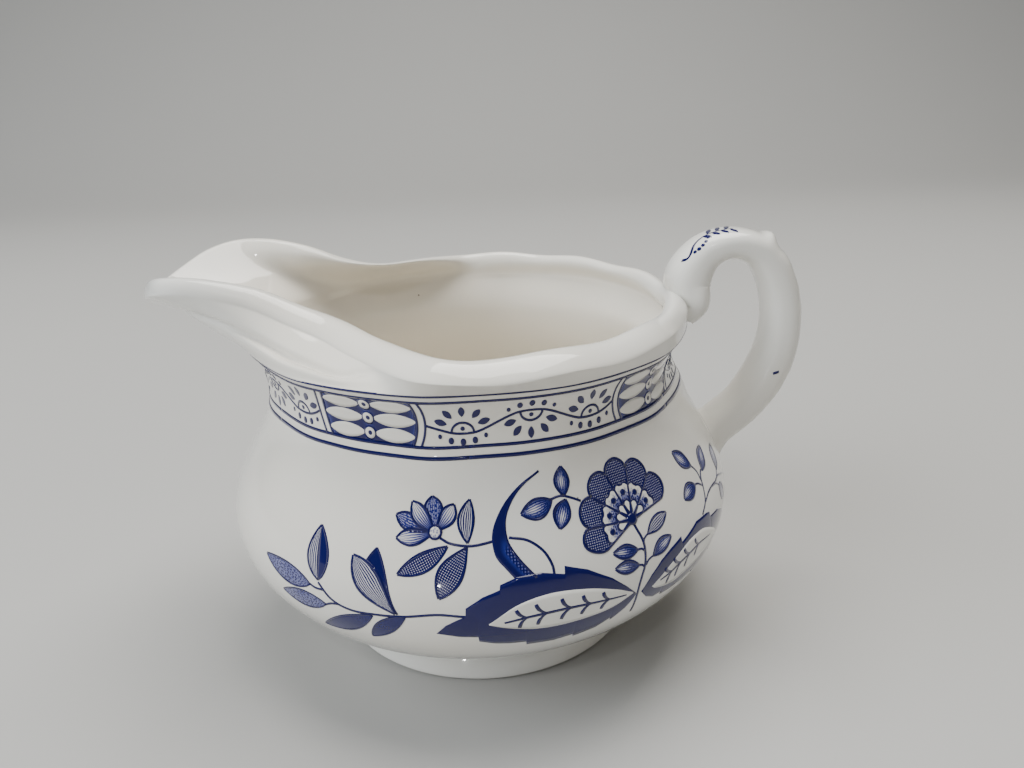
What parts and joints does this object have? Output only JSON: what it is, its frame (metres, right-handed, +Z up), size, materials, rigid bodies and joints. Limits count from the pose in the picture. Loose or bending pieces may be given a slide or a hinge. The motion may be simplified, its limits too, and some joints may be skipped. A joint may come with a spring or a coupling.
{
  "type": "cream jug",
  "caption": "Footed ceramic cream jug with a wide pouring lip, a thick rounded rim, a scrolled strap handle and blue printed decoration.",
  "frame": {"origin": "centre of the foot ring's underside, where the jug stands", "axes": "+Z up, +X from the pouring lip towards the handle, -Y the front with the main spray"},
  "size_m": [0.129, 0.1022, 0.0803],
  "materials": {
    "glaze": "warm off-white gloss glaze",
    "slip": "glazed slip fillet",
    "print": "cobalt print under gloss glaze"
  },
  "bodies": {
    "root": {"body": "glaze", "foot_ring": "glaze", "foot_luting": "slip", "handle": "glaze", "upper_handle_luting": "slip", "lower_handle_luting": "slip", "border_transfer": "print", "front_spray_transfer": "print", "back_spray_transfer": "print", "handle_sprig_transfer": "print"}
  },
  "joints": []
}
